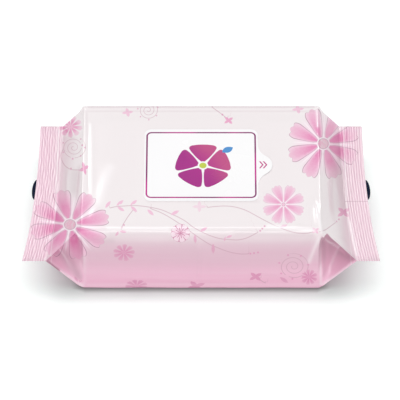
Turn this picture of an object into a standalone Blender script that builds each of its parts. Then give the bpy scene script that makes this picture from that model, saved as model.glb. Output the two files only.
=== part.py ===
# Wet wipes pack: a film flow wrap with gusseted ends, crimped end seals and a back fin,
# and the peel-and-reseal label stuck on its top panel. Metres, +Z up, front at -Y.
# The origin is under the middle of the pack, on the surface that it lies on.

import math

import bmesh
import bpy

# Pack body
BODY_LENGTH = 0.157
TOP_LENGTH = 0.155
BODY_WIDTH = 0.105
BODY_HEIGHT = 0.064
TOP_EDGE_RADIUS = 0.005
BASE_EDGE_RADIUS = 0.0025
TOP_FALL = 0.0011
SIDE_BULGE = 0.0016
TOP_FOLD_ROUND = 0.0028
BASE_FOLD_ROUND = 0.0016

# Gusseted ends, between the body and the seals
END_REACH = 0.0136
GUSSET_DEPTH = 0.027
GUSSET_LIP_SHARE = 0.22
EDGE_TUCK = 0.5

# Crimped end seals
SEAL_HEIGHT = 0.0355
SEAL_SPAN = 0.112
SEAL_WIDTH = 0.0152
SEAL_THICKNESS = 0.0009
SEAL_SPLAY = 0.0083
SPLAY_CURVE = 2.4
SEAL_EDGE_ROUND = 0.0002
SEAL_INNER_BAND = 0.0006
SEAL_OUTER_RIM = 0.0014
RIB_COUNT = 8
RIB_HEIGHT = 0.0006

# Back fin, folded flat against the underside, and its two printed ends
FIN_WIDTH = 0.017
FIN_FRONT = -0.0055
FIN_THICKNESS = 0.0006
FIN_GROOVE = 0.0005
FIN_STEP = 0.0004
FIN_GROOVE_WIDTH = 0.0025
TIP_REACH = 0.002
TIP_THICKNESS = 0.0005
TIP_ROOT = 0.001

# Peel-and-reseal label
LABEL_LENGTH = 0.074
LABEL_WIDTH = 0.0595
LABEL_SHIFT = 0.0018
LABEL_CORNER = 0.0045
LABEL_THICKNESS = 0.0003
LABEL_GAP = 0.0003
LABEL_MARGIN = 0.004
TAB_RADIUS = 0.0085
TAB_OFFSET = 0.0008
TAB_FILLET = 0.0115

# Facets round the girth and along the pack
TOP_STEPS = 16
ARC_STEPS = 3
LIP_STEPS = 2
WEB_STEPS = 3
BODY_STEPS = 5
END_STEPS = 9
FOLD_STEPS = 4
OUTLINE_STEPS = 8

# Values that follow from the sizes above
BODY_HALF = BODY_LENGTH / 2
TOP_HALF = TOP_LENGTH / 2
SEAL_START = BODY_HALF + END_REACH
SEAL_END = SEAL_START + SEAL_WIDTH
SEAL_TOP = SEAL_HEIGHT + SEAL_THICKNESS / 2
SEAL_BASE = SEAL_HEIGHT - SEAL_THICKNESS / 2
FIN_BACK = FIN_FRONT + FIN_WIDTH
FIN_MIDDLE = FIN_FRONT + FIN_WIDTH / 2
LABEL_FLAT_X = LABEL_LENGTH / 2 + TAB_OFFSET + TAB_RADIUS + LABEL_MARGIN
LABEL_FLAT_Y = LABEL_WIDTH / 2 + abs(LABEL_SHIFT) + LABEL_MARGIN


def mix(start, end, share):
    return start + (end - start) * share


def smooth(share):
    share = min(1.0, max(0.0, share))
    return share * share * (3 - 2 * share)


def rounded_bend(past, reach):
    # 0 before a fold and rising one for one after it, with the fold eased over reach each way
    if past <= -reach:
        return 0.0
    if past >= reach:
        return past
    return (past + reach) ** 2 / (4 * reach)


def splay(y):
    # the seals stand further out towards the front of the pack
    frontness = min(1.0, max(0.0, 0.5 - y / SEAL_SPAN))
    return SEAL_SPLAY * frontness**SPLAY_CURVE


def splay_slope(y):
    frontness = 0.5 - y / SEAL_SPAN
    return -SEAL_SPLAY * SPLAY_CURVE * frontness ** (SPLAY_CURVE - 1) / SEAL_SPAN


def end_share(out):
    # 0 on the body, 1 at the seal's inner line and past it
    return min(1.0, max(0.0, (out - BODY_HALF) / END_REACH))


def top_height(out):
    slope = (BODY_HEIGHT - SEAL_TOP) / (SEAL_START - TOP_HALF)
    height = BODY_HEIGHT - slope * rounded_bend(out - TOP_HALF, TOP_FOLD_ROUND)
    return max(height, SEAL_TOP)


def base_height(out):
    slope = SEAL_BASE / END_REACH
    return min(slope * rounded_bend(out - BODY_HALF, BASE_FOLD_ROUND), SEAL_BASE)


def corner_arc(middle_y, middle_z, radius, start, end):
    # the points inside an arc from start to end degrees, without its two ends
    points = []
    for step in range(1, ARC_STEPS):
        turn = math.radians(mix(start, end, step / ARC_STEPS))
        points.append((middle_y + radius * math.cos(turn), middle_z + radius * math.sin(turn)))
    return points


def top_line(out, half, radius):
    # the top panel from back to front: flat under the label, falling a little to its edges
    share = end_share(out)
    high = top_height(out)
    along = smooth((out - LABEL_FLAT_X) / (TOP_HALF - LABEL_FLAT_X))
    high -= TOP_FALL * along * (1 - share)
    edge = half - radius
    points = []
    for step in range(TOP_STEPS + 1):
        y = mix(edge, -edge, step / TOP_STEPS)
        across = smooth((abs(y) - LABEL_FLAT_Y) / max(edge - LABEL_FLAT_Y, radius))
        points.append((y, high - TOP_FALL * across * (1 - along) * (1 - share)))
    return points


def base_line(out, half, radius):
    # the underside from front to back, with the back fin folded flat against it
    low = base_height(out)
    raised = min(low, FIN_THICKNESS)
    sunk = FIN_GROOVE * (1 - raised / FIN_THICKNESS)
    edge = half - radius
    front_steps = TOP_STEPS * 3 // 8
    points = []
    for step in range(front_steps + 1):
        points.append((mix(-edge, FIN_FRONT - FIN_STEP, step / front_steps), low))
    for step in range(4):
        points.append((mix(FIN_FRONT, FIN_BACK, step / 3), low - raised))
    points.append((FIN_BACK + FIN_STEP, low + sunk))
    back_steps = TOP_STEPS - front_steps - 6
    for step in range(back_steps + 1):
        points.append((mix(FIN_BACK + FIN_GROOVE_WIDTH, edge, step / back_steps), low))
    return points


def side_line(out, start, end, sealed):
    # one side from the top edge down to the base edge: out to the gusset's web and back
    share = end_share(out)
    depth = 0.0 if sealed else GUSSET_DEPTH * share
    top, base = start[1], end[1]
    web_top = (start[0] - depth, mix(top, base, GUSSET_LIP_SHARE))
    web_base = (end[0] - depth, mix(base, top, GUSSET_LIP_SHARE))
    points = [start]
    for step in range(1, LIP_STEPS):
        points.append(tuple(mix(start[i], web_top[i], step / LIP_STEPS) for i in (0, 1)))
    for step in range(2 * WEB_STEPS + 1):
        points.append(tuple(mix(web_top[i], web_base[i], step / (2 * WEB_STEPS)) for i in (0, 1)))
    for step in range(1, LIP_STEPS):
        points.append(tuple(mix(web_base[i], end[i], step / LIP_STEPS) for i in (0, 1)))
    points.append(end)
    swell = SIDE_BULGE * (1 - smooth(out / BODY_HALF) ** 2)
    if sealed:
        swell = SEAL_EDGE_ROUND
    return [
        (y + swell * math.sin(math.pi * min(1.0, max(0.0, (top - z) / (top - base)))), z)
        for y, z in points
    ]


def girth(out, sealed):
    # the closed section of the wrap at one distance from the middle, from the middle of the
    # back side over the top to the front side and back under the base
    share = end_share(out)
    thin = SEAL_THICKNESS / 4
    top_radius = mix(TOP_EDGE_RADIUS, thin, smooth(share * 3))
    base_radius = mix(BASE_EDGE_RADIUS, thin, smooth(share * 3))
    half = mix(BODY_WIDTH, SEAL_SPAN, share) / 2
    top_half = half - EDGE_TUCK * (mix(TOP_EDGE_RADIUS, thin, share) - top_radius)
    base_half = half - EDGE_TUCK * (mix(BASE_EDGE_RADIUS, thin, share) - base_radius)
    over = top_line(out, top_half, top_radius)
    under = base_line(out, base_half, base_radius)
    high, low = over[0][1], under[0][1]
    side = side_line(out, (top_half, high - top_radius), (base_half, low + base_radius), sealed)
    centre = len(side) // 2
    top_arc = corner_arc(top_half - top_radius, high - top_radius, top_radius, 0, 90)
    base_arc = corner_arc(base_half - base_radius, low + base_radius, base_radius, 270, 360)
    mirrored = [(-y, z) for y, z in side]
    back_up = side[centre::-1]
    front_down = mirrored
    back_rise = side[:centre:-1]
    top_front = [(-y, z) for y, z in reversed(top_arc)]
    base_front = [(-y, z) for y, z in reversed(base_arc)]
    return back_up + top_arc + over + top_front + front_down + base_front + under + base_arc + back_rise


def station_list():
    # distances from the middle, as (out, rise of a crimp rib, inside the seal)
    stations = [(mix(0, LABEL_FLAT_X, step / 3), 0.0, False) for step in range(3)]
    fold_start = TOP_HALF - TOP_FOLD_ROUND
    for step in range(BODY_STEPS):
        stations.append((mix(LABEL_FLAT_X, fold_start, step / BODY_STEPS), 0.0, False))
    fold_end = BODY_HALF + BASE_FOLD_ROUND
    for step in range(FOLD_STEPS * 2):
        stations.append((mix(fold_start, fold_end, step / (FOLD_STEPS * 2)), 0.0, False))
    for step in range(END_STEPS + 1):
        stations.append((mix(fold_end, SEAL_START, step / END_STEPS), 0.0, False))
    first_rib = SEAL_START + SEAL_INNER_BAND
    last_rib = SEAL_END - SEAL_OUTER_RIM
    stations.append((first_rib, 0.0, True))
    for step in range(1, 2 * RIB_COUNT):
        rise = RIB_HEIGHT / 2 if step % 2 else -RIB_HEIGHT / 2
        stations.append((mix(first_rib, last_rib, step / (2 * RIB_COUNT)), rise, True))
    stations.append((last_rib, 0.0, True))
    stations.append((SEAL_END, 0.0, True))
    return stations


def ring_points(out, rise, sealed, side):
    share = end_share(out)
    return [(side * (out + splay(y) * share), y, z + rise) for y, z in girth(out, sealed)]


def principled(name, colour, roughness):
    material = bpy.data.materials.new(name)
    material.use_nodes = True
    shader = material.node_tree.nodes["Principled BSDF"]
    shader.inputs["Base Color"].default_value = (*colour, 1.0)
    shader.inputs["Roughness"].default_value = roughness
    shader.inputs["Metallic"].default_value = 0.0
    material.diffuse_color = (*colour, 1.0)
    return material


def film_wrap(pale, pink, dark):
    # the sections joined into one skin, pale on the top panel and pink on the sides and seals
    half_run = station_list()
    stations = [(*station, -1) for station in reversed(half_run)]
    stations += [(*station, 1) for station in half_run[1:]]
    first_top = LIP_STEPS + WEB_STEPS
    last_top = first_top + TOP_STEPS + 2 * ARC_STEPS
    shape = bmesh.new()
    loops = [[shape.verts.new(point) for point in ring_points(*station)] for station in stations]
    count = len(loops[0])
    for index, (first, second) in enumerate(zip(loops, loops[1:])):
        sealed = stations[index][2] and stations[index + 1][2]
        for step in range(count):
            after = (step + 1) % count
            face = shape.faces.new((first[step], first[after], second[after], second[step]))
            face.material_index = 0 if first_top <= step < last_top and not sealed else 1
    for loop in (loops[0], loops[-1]):
        for step in range(count // 2):
            corners = [loop[step], loop[step + 1], loop[-step - 1], loop[-step]]
            face = shape.faces.new(list(dict.fromkeys(corners)))
            face.material_index = 1
    bmesh.ops.recalc_face_normals(shape, faces=shape.faces)
    mesh = bpy.data.meshes.new("wrapper")
    shape.to_mesh(mesh)
    shape.free()
    for material in (pale, pink, dark):
        mesh.materials.append(material)
    return mesh


def fin_tip(side):
    # the rounded end of the back fin, which shows past the seal's cut edge
    shape = bmesh.new()
    bmesh.ops.create_cone(
        shape,
        cap_ends=True,
        segments=32,
        radius1=1.0,
        radius2=1.0,
        depth=TIP_THICKNESS,
    )
    for vert in shape.verts:
        vert.co.x *= TIP_REACH if vert.co.x * side > 0 else TIP_ROOT
        vert.co.y *= FIN_WIDTH / 2 - FIN_STEP
    mesh = bpy.data.meshes.new("fin_tip")
    shape.to_mesh(mesh)
    shape.free()
    tip = bpy.data.objects.new("fin_tip_left" if side < 0 else "fin_tip_right", mesh)
    edge = SEAL_END + splay(FIN_MIDDLE)
    tip.location = (side * edge, FIN_MIDDLE, SEAL_BASE - FIN_THICKNESS / 2)
    tip.rotation_euler.z = -side * math.atan(splay_slope(FIN_MIDDLE))
    return tip


def arc(middle, radius, start, end, steps):
    points = []
    for step in range(steps + 1):
        turn = math.radians(mix(start, end, step / steps))
        points.append((middle[0] + radius * math.cos(turn), middle[1] + radius * math.sin(turn)))
    return points


def label_outline():
    # a rounded rectangle with a round pull tab on its right, blended in by two hollow fillets
    right = LABEL_LENGTH / 2
    half = LABEL_WIDTH / 2
    corner_x = right - LABEL_CORNER
    corner_y = half - LABEL_CORNER
    root = math.sqrt((TAB_RADIUS + TAB_FILLET) ** 2 - (TAB_FILLET - TAB_OFFSET) ** 2)
    lean = math.degrees(math.atan2(root, TAB_FILLET - TAB_OFFSET))
    points = arc((-corner_x, -corner_y), LABEL_CORNER, 180, 270, OUTLINE_STEPS)
    points += arc((corner_x, -corner_y), LABEL_CORNER, 270, 360, OUTLINE_STEPS)
    fillet_x = right + TAB_FILLET
    points += arc((fillet_x, -root), TAB_FILLET, 180, 180 - lean, OUTLINE_STEPS)
    points += arc((right + TAB_OFFSET, 0), TAB_RADIUS, -lean, lean, 3 * OUTLINE_STEPS)[1:-1]
    points += arc((fillet_x, root), TAB_FILLET, 180 + lean, 180, OUTLINE_STEPS)
    points += arc((corner_x, corner_y), LABEL_CORNER, 0, 90, OUTLINE_STEPS)
    points += arc((-corner_x, corner_y), LABEL_CORNER, 90, 180, OUTLINE_STEPS)
    return points


def reseal_label():
    outline = label_outline()
    curve = bpy.data.curves.new("reseal_label", "CURVE")
    curve.dimensions = "2D"
    curve.fill_mode = "BOTH"
    curve.extrude = LABEL_THICKNESS / 2
    spline = curve.splines.new("POLY")
    spline.points.add(len(outline) - 1)
    for point, (x, y) in zip(spline.points, outline):
        point.co = (x, y, 0, 1)
    spline.use_cyclic_u = True
    label = bpy.data.objects.new("reseal_label", curve)
    label.location = (0, LABEL_SHIFT, BODY_HEIGHT + LABEL_GAP + LABEL_THICKNESS / 2)
    return label


def main():
    for old in list(bpy.data.objects):
        bpy.data.objects.remove(old)
    pack = bpy.data.collections.new("wet_wipes_pack")
    helpers = bpy.data.collections.new("joining_shapes")
    bpy.context.scene.collection.children.link(pack)
    bpy.context.scene.collection.children.link(helpers)

    pale = principled("film_pale", (0.90, 0.83, 0.84), 0.32)
    pink = principled("film_pink", (0.83, 0.50, 0.64), 0.32)
    dark = principled("registration_ink", (0.005, 0.008, 0.03), 0.4)
    label_film = principled("label_film", (0.93, 0.92, 0.93), 0.28)

    wrapper = bpy.data.objects.new("wrapper", film_wrap(pale, pink, dark))
    pack.objects.link(wrapper)
    for side in (-1, 1):
        tip = fin_tip(side)
        tip.data.materials.append(dark)
        tip.hide_render = True
        tip.display_type = "WIRE"
        helpers.objects.link(tip)
        join = wrapper.modifiers.new(tip.name, "BOOLEAN")
        join.operation = "UNION"
        join.object = tip
    wrapper.data.shade_smooth()
    wrapper.data.set_sharp_from_angle(angle=math.radians(40))

    label = reseal_label()
    label.data.materials.append(label_film)
    pack.objects.link(label)


main()
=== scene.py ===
import math

import bpy
import numpy as np
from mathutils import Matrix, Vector


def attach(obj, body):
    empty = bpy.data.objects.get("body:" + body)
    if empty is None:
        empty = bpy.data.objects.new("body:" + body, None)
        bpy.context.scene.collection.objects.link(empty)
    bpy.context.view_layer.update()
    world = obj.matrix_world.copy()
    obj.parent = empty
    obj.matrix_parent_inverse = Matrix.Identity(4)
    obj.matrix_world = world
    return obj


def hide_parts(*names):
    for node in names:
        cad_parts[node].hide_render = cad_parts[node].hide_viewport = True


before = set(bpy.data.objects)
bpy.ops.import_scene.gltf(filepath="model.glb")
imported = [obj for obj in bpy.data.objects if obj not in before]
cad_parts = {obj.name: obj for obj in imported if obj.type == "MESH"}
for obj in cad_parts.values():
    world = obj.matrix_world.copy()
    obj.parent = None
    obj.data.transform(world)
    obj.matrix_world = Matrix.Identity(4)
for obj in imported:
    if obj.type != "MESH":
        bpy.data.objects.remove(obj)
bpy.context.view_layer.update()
scene = bpy.context.scene
mm = 0.001


# camera at the photo's height and distance, focal length and shift in the picture's pixels
camSet = {
    "elevation": 52.0,
    "distance": 2.0503,
    "aimHeight": 0.0277,
    "focalPixels": 3112.8,
    "shift": 1.1,
    "picture": 400,
    "sensor": 36,
}
camData = bpy.data.cameras.new("photo_camera")
camData.sensor_width = camSet["sensor"]
camData.lens = camSet["focalPixels"] / camSet["picture"] * camSet["sensor"]
camData.shift_x = -camSet["shift"] / camSet["picture"]
camData.clip_end = 20
camera = bpy.data.objects.new("photo_camera", camData)
tilt = math.radians(camSet["elevation"])
camera.location = (
    0,
    -camSet["distance"] * math.cos(tilt),
    camSet["aimHeight"] + camSet["distance"] * math.sin(tilt),
)
camera.rotation_euler = (math.pi / 2 - tilt, 0, 0)
scene.collection.objects.link(camera)
scene.camera = camera
print("camera placed")


def mix(a, b, t):
    return a + (b - a) * t


def smooth(t):
    t = min(1.0, max(0.0, t))
    return t * t * (3 - 2 * t)


def smoothArray(t):
    t = np.clip(t, 0.0, 1.0)
    return t * t * (3 - 2 * t)


# sizes of the film wrap in mm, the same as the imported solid
film = {
    "bodyHalf": 78.5,
    "topHalf": 77.5,
    "width": 105.0,
    "height": 64.0,
    "topRadius": 5.0,
    "baseRadius": 2.5,
    "topRound": 0.9,
    "topCorner": 76.3,
    "baseRound": 1.6,
    "reach": 13.6,
    "depth": 27.0,
    "lip": 0.22,
    "sealHeight": 35.5,
    "sealSpan": 112.0,
    "sealWidth": 15.2,
    "sealThick": 0.9,
    "splay": 8.3,
    "curve": 2.4,
    "finFront": -5.5,
    "finWidth": 17.0,
    "finThick": 0.6,
    "flatX": 50.3,
    "flatY": 35.5,
    "topFall": 1.1,
    "bulge": 1.6,
}
# points of one section: over the top, round an edge, and down the three runs of a side
ringPoints = {"over": 85, "arc": 6, "side": (7, 18, 7)}
sidePoints = sum(ringPoints["side"]) + 1
sealStart = film["bodyHalf"] + film["reach"]
sealEnd = sealStart + film["sealWidth"]
sealTop = film["sealHeight"] + film["sealThick"] / 2
sealBase = film["sealHeight"] - film["sealThick"] / 2


def bend(past, reach):
    if past <= -reach:
        return 0.0
    if past >= reach:
        return past
    return (past + reach) ** 2 / (4 * reach)


def splay(y):
    return film["splay"] * np.clip(0.5 - y / film["sealSpan"], 0, 1) ** film["curve"]


def section(out, sealed):
    # one closed section of the wrap, as (y, z) in mm, over the top first
    share = min(1.0, max(0.0, (out - film["bodyHalf"]) / film["reach"]))
    slope = (film["height"] - sealTop) / (sealStart - film["topHalf"])
    fall = slope * bend(out - film["topHalf"], film["topRound"])
    rise = sealBase / film["reach"] * bend(out - film["bodyHalf"], film["baseRound"])
    high, low = max(film["height"] - fall, sealTop), min(rise, sealBase)
    half = mix(film["width"], film["sealSpan"], share) / 2
    thin = film["sealThick"] / 4
    topR = mix(film["topRadius"], thin, smooth(share * 9))
    baseR = mix(film["baseRadius"], thin, smooth(share * 3))
    topHalf = half - 0.5 * (mix(film["topRadius"], thin, share) - topR)
    baseHalf = half - 0.5 * (mix(film["baseRadius"], thin, share) - baseR)
    along = smooth((out - film["flatX"]) / (film["topHalf"] - film["flatX"]))
    crest = high - film["topFall"] * along * (1 - share)
    edge = topHalf - topR
    over = []
    for i in range(ringPoints["over"]):
        y = mix(edge, -edge, i / (ringPoints["over"] - 1))
        across = smooth((abs(y) - film["flatY"]) / max(edge - film["flatY"], topR))
        over.append((y, crest - film["topFall"] * across * (1 - along) * (1 - share)))
    raised = min(low, film["finThick"])
    baseEdge = baseHalf - baseR
    finBack = film["finFront"] + film["finWidth"]
    marks = [(-baseEdge, low, 32), (film["finFront"] - 0.4, low, 1)]
    marks += [(film["finFront"], low - raised, 13), (finBack, low - raised, 1)]
    finStep = low + 0.5 * (1 - raised / film["finThick"])
    marks += [(finBack + 0.4, finStep, 1), (finBack + 2.5, low, 36)]
    under = []
    for i, (y, z, steps) in enumerate(marks):
        nextY, nextZ = (marks[i + 1][0], marks[i + 1][1]) if i < 5 else (baseEdge, low)
        under += [(mix(y, nextY, k / steps), mix(z, nextZ, k / steps)) for k in range(steps)]
    under.append((baseEdge, low))
    top, base = over[0][1] - topR, low + baseR
    depth = 0.0 if sealed else film["depth"] * share
    upShare = (out - film["topCorner"]) / (sealStart - film["topCorner"])
    upShare = min(1.0, max(0.0, upShare))
    upDepth = 0.0 if sealed else film["depth"] * upShare**0.6
    web = [(topHalf, top), (topHalf - upDepth, mix(top, base, film["lip"]))]
    web += [(baseHalf - depth, mix(base, top, film["lip"])), (baseHalf, base)]
    side = []
    for (y0, z0), (y1, z1), steps in zip(web, web[1:], ringPoints["side"]):
        side += [(mix(y0, y1, k / steps), mix(z0, z1, k / steps)) for k in range(steps)]
    side.append(web[3])
    swell = 0.2 if sealed else film["bulge"] * (1 - smooth(out / film["bodyHalf"]) ** 2)
    side = [
        (y + swell * math.sin(math.pi * min(1, max(0, (top - z) / (top - base)))), z)
        for y, z in side
    ]
    arcSteps = ringPoints["arc"] + 1
    topArc = [
        (edge + topR * math.cos(a), top + topR * math.sin(a))
        for a in (math.pi / 2 * k / arcSteps for k in range(1, arcSteps))
    ]
    baseArc = [
        (baseEdge + baseR * math.cos(a), base + baseR * math.sin(a))
        for a in (math.pi / 2 * (3 + k / arcSteps) for k in range(1, arcSteps))
    ]
    centre = len(side) // 2
    frontSide = [(-y, z) for y, z in side]
    frontTop = [(-y, z) for y, z in reversed(topArc)]
    frontBase = [(-y, z) for y, z in reversed(baseArc)]
    ring = side[centre::-1] + topArc + over + frontTop + frontSide + frontBase + under + baseArc
    return ring + side[:centre:-1], centre


def filmGrid():
    # sections close together at the folds and crimps, wider apart along the body
    outs = list(np.linspace(0, 70, 50)) + list(np.linspace(71, 82, 17))
    outs += list(np.linspace(82.7, sealStart, 14)) + list(np.linspace(sealStart + 0.3, sealEnd, 61))
    sealed = [o > sealStart + 0.1 for o in outs]
    rings, spots = [], []
    for sign in (-1, 1):
        order = list(zip(outs, sealed))
        order = order[::-1] if sign < 0 else order[1:]
        for out, closed in order:
            ring, centre = section(out, closed)
            rings.append(ring)
            spots.append((sign * out, closed))
    yz = np.array(rings)
    out = np.array([s[0] for s in spots])
    share = np.clip((np.abs(out) - film["bodyHalf"]) / film["reach"], 0, 1)
    x = out[:, None] + np.sign(out)[:, None] * splay(yz[:, :, 0]) * share[:, None]
    return np.dstack([x, yz[:, :, 0], yz[:, :, 1]]), out, share, centre


def gridNormals(p):
    du = np.gradient(p, axis=0)
    dv = (np.roll(p, -1, axis=1) - np.roll(p, 1, axis=1)) / 2
    n = np.cross(dv, du)
    return n / np.maximum(np.linalg.norm(n, axis=2, keepdims=True), 1e-9)


points, outAt, shareAt, sideMid = filmGrid()
stations, columns = points.shape[:2]
topMid = sideMid + 1 + ringPoints["arc"] + ringPoints["over"] // 2
print("film grid", stations, columns, "facets", stations * columns * 2)

# lengths of the unfolded film: u along the pack, v round it from the middle of the top
step = np.linalg.norm(np.diff(points, axis=1, append=points[:, :1]), axis=2)
ringRun = np.concatenate([np.zeros((stations, 1)), np.cumsum(step, axis=1)[:, :-1]], axis=1)
filmV = ringRun[:, topMid : topMid + 1] - ringRun
girth = ringRun[:, -1:] + step[:, -1:]
filmV = np.where(filmV < -girth / 2, filmV + girth, filmV)
middle = points[:, topMid]
lengths = np.concatenate([[0], np.cumsum(np.linalg.norm(np.diff(middle, axis=0), axis=1))])
lengths -= np.interp(0, outAt, lengths)
filmU = lengths[:, None] + np.sign(outAt)[:, None] * splay(points[:, :, 1]) * shareAt[:, None]
# the top middle's own splay is taken out again
filmU -= np.sign(outAt)[:, None] * splay(0.0) * shareAt[:, None]

# soften the creases inside the gussets, not their outer folds
gusset = {
    "fromLeft": 79.5,
    "fromRight": 80.5,
    "endBefore": 1.2,
    "sweeps": 6,
    "fullSweeps": 2,  # after these the right side is softened less
    "rightShare": 0.25,
    "leftDepth": 0.62,
    "shadeLeft": 0.1,
    "shadeRight": 0.22,
    "shadeBack": 0.2,
}
past = np.abs(outAt)
onLeft = outAt < 0
gussetFrom = np.where(onLeft, gusset["fromLeft"], gusset["fromRight"])
inGusset = smoothArray((past - gussetFrom) / 2)
inGusset = inGusset * (1 - smoothArray((past - sealStart + gusset["endBefore"]) / 1.0))
frontWeb = sideMid + 1 + ringPoints["arc"] + ringPoints["over"] + ringPoints["arc"]
frontWebEnd = frontWeb + sidePoints
backWeb = columns - sidePoints // 2
inWeb = np.zeros(columns)
inWeb[frontWeb + 2 : frontWebEnd - 2] = 1
inWeb[: sideMid - 1] = 1
inWeb[backWeb + 1 :] = 1
soft = inGusset[:, None, None] * inWeb[None, :, None]
for sweep in range(gusset["sweeps"]):
    if sweep == gusset["fullSweeps"]:
        soft = soft * np.where(onLeft, 1.0, gusset["rightShare"])[:, None, None]
    around = (np.roll(points, 1, axis=1) + np.roll(points, -1, axis=1)) / 2
    points = mix(points, around, 0.6 * soft)
    along = points.copy()
    along[1:-1] = (points[:-2] + points[2:]) / 2
    points = mix(points, along, 0.4 * soft)

# the left front gusset is pushed in less than the others
web = points[:, frontWeb:frontWebEnd]
webTop, webBase = web[:, :1], web[:, -1:]
high = (web[:, :, 2] - webBase[:, :, 2]) / np.maximum(webTop[:, :, 2] - webBase[:, :, 2], 0.1)
straight = mix(webBase[:, :, 1], webTop[:, :, 1], high)
shallow = mix(straight, web[:, :, 1], gusset["leftDepth"])
web[:, :, 1] = np.where(onLeft[:, None], shallow, web[:, :, 1])
# how much painted shade each gusset gets
hollow = np.sin(np.pi * np.arange(sidePoints) / (sidePoints - 1)) ** 0.6
frontShade = np.where(onLeft, gusset["shadeLeft"], gusset["shadeRight"])[:, None]
pocketPaintedShade = np.zeros(points.shape[:2])
pocketPaintedShade[:, frontWeb:frontWebEnd] = inGusset[:, None] * hollow * frontShade
pocketPaintedShade[:, : sideMid + 1] = inGusset[:, None] * gusset["shadeBack"]
pocketPaintedShade[:, backWeb:] = inGusset[:, None] * gusset["shadeBack"]

# crimp ribs of the end seals, wavier on the left
crimp = {"pitch": 1.66, "height": 0.34, "waverLeft": 0.2, "waverRight": 0.05}
inSeal = smoothArray((past - sealStart - 0.5) / 0.5)
inSeal = inSeal * (1 - smoothArray((past - sealEnd + 0.9) / 0.5))
yAt = points[:, :, 1]
waves = np.sin(yAt / 3.1 + outAt[:, None] * 0.9) + 0.7 * np.sin(yAt / 1.7 - outAt[:, None] * 1.3)
waves = waves + 0.8 * np.sin(yAt / 8.3)
waver = np.where(onLeft, crimp["waverLeft"], crimp["waverRight"])[:, None] * waves
phase = (past[:, None] - sealStart + waver) / crimp["pitch"]
ridge = 1 - 2 * np.abs(np.sin(np.pi * phase)) ** 0.6
rib = inSeal[:, None] * ridge
points[:, :, 2] -= crimp["height"] * rib

# tension folds and soft dents: start, end, width and height in unfolded mm
folds = [
    ((-71.9, 36), (-70.9, -26), 1.4, 0.4),
    ((-58, -1), (-65, -30), 4.6, 0.55),
    ((-65, -30), (-72, -48), 3.0, 0.4),
    ((-63, -38), (-56, -50), 2.0, 0.35),
    ((-60, -50.2), (-16, -50.4), 1.1, 0.32),
    ((77, -51.5), (56, -47.6), 1.3, 0.6),
    ((75.2, -51), (72.6, -26), 1.5, 0.75),
    ((76, -56), (69, -84), 1.9, 0.6),
    ((72, -60), (61, -76), 3.2, -0.4),
    ((-75.5, -64), (-74.5, -106), 1.7, 0.3),
    ((-72, -58), (-65, -82), 2.6, 0.4),
    ((-74, 47.3), (74, 47.3), 0.5, 0.34),
    ((-86, -24), (-85, 8), 3.6, -1.0),
    ((-95, -14), (-98, 14), 2.8, 0.6),
    ((95, -30), (95, 6), 4.4, -1.2),
    ((86, -34), (84, -6), 3.4, 0.6),
    ((104, -46), (84, -53), 1.8, 0.5),
    ((20, -61), (52, -58), 4.5, 0.3),
    ((-40, -62), (-8, -61), 4.5, 0.24),
    ((-60, -100), (30, -103), 3.6, 0.24),
    ((30, -92), (60, -98), 3.4, 0.24),
]


def foldHeight(u, v):
    high = np.zeros_like(u)
    for (u0, v0), (u1, v1), wide, tall in folds:
        du, dv = u1 - u0, v1 - v0
        t = np.clip(((u - u0) * du + (v - v0) * dv) / (du * du + dv * dv), 0, 1)
        near = np.hypot(u - u0 - t * du, v - v0 - t * dv)
        ends = np.sin(np.pi * np.clip(t * 0.85 + 0.12, 0, 1))
        high += tall * np.exp(-((near / wide) ** 2)) * ends
    return high


ripples = {"count": 26, "shortest": 16, "longest": 46, "height": 0.12, "lessAtBack": 0.8}
backFold = {"at": 51.3, "wide": 3.8, "rise": 1.2, "endFrom": 77}
rng = np.random.default_rng(7)
ripple = np.zeros_like(filmU)
for k in range(ripples["count"]):
    angle = rng.uniform(0, math.pi)
    wave = rng.uniform(ripples["shortest"], ripples["longest"])
    swing = (filmU * math.cos(angle) + filmV * math.sin(angle)) * 2 * math.pi / wave
    ripple += np.sin(swing + rng.uniform(0, 6.28)) * wave / ripples["longest"] / 5
underLabel = 1 - smoothArray((np.abs(filmU - 2) - 42) / 8)
underLabel = underLabel * (1 - smoothArray((np.abs(filmV - 0.2) - 30) / 7))
calm = (1 - underLabel) * (1 - inSeal[:, None])
normals = gridNormals(points)
backEdge = smoothArray((filmV - 36) / 8) * (1 - smoothArray((filmV - 58) / 8))
ripple *= 1 - ripples["lessAtBack"] * backEdge
backRise = backFold["rise"] * np.exp(-(((filmV - backFold["at"]) / backFold["wide"]) ** 2))
backRise = backRise * (1 - smoothArray((past - backFold["endFrom"]) / 4))[:, None]
lift = (ripples["height"] * ripple + backRise + foldHeight(filmU, filmV)) * calm
points += normals * lift[:, :, None]
points[:, :, 2] = np.maximum(points[:, :, 2], 0.0)

# the film is drawn up to the label that is glued to it
pull = {"left": 36.5, "right": 38, "half": 29.5, "middle": 0.2, "reach": 7, "height": 64.26}
xAt = points[:, :, 0]
overX = np.maximum(np.abs(xAt) - pull["left"], 0)
overX = np.where(xAt > 0, np.maximum(xAt - pull["right"], 0), overX)
overY = np.maximum(np.abs(points[:, :, 1] - pull["middle"]) - pull["half"], 0)
labelFar = np.hypot(overX, overY)
drawn = (1 - smoothArray(labelFar / pull["reach"])) * (points[:, :, 2] > 60)
points[:, :, 2] = mix(points[:, :, 2], np.maximum(points[:, :, 2], pull["height"]), drawn)
print("film shaped")


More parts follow.
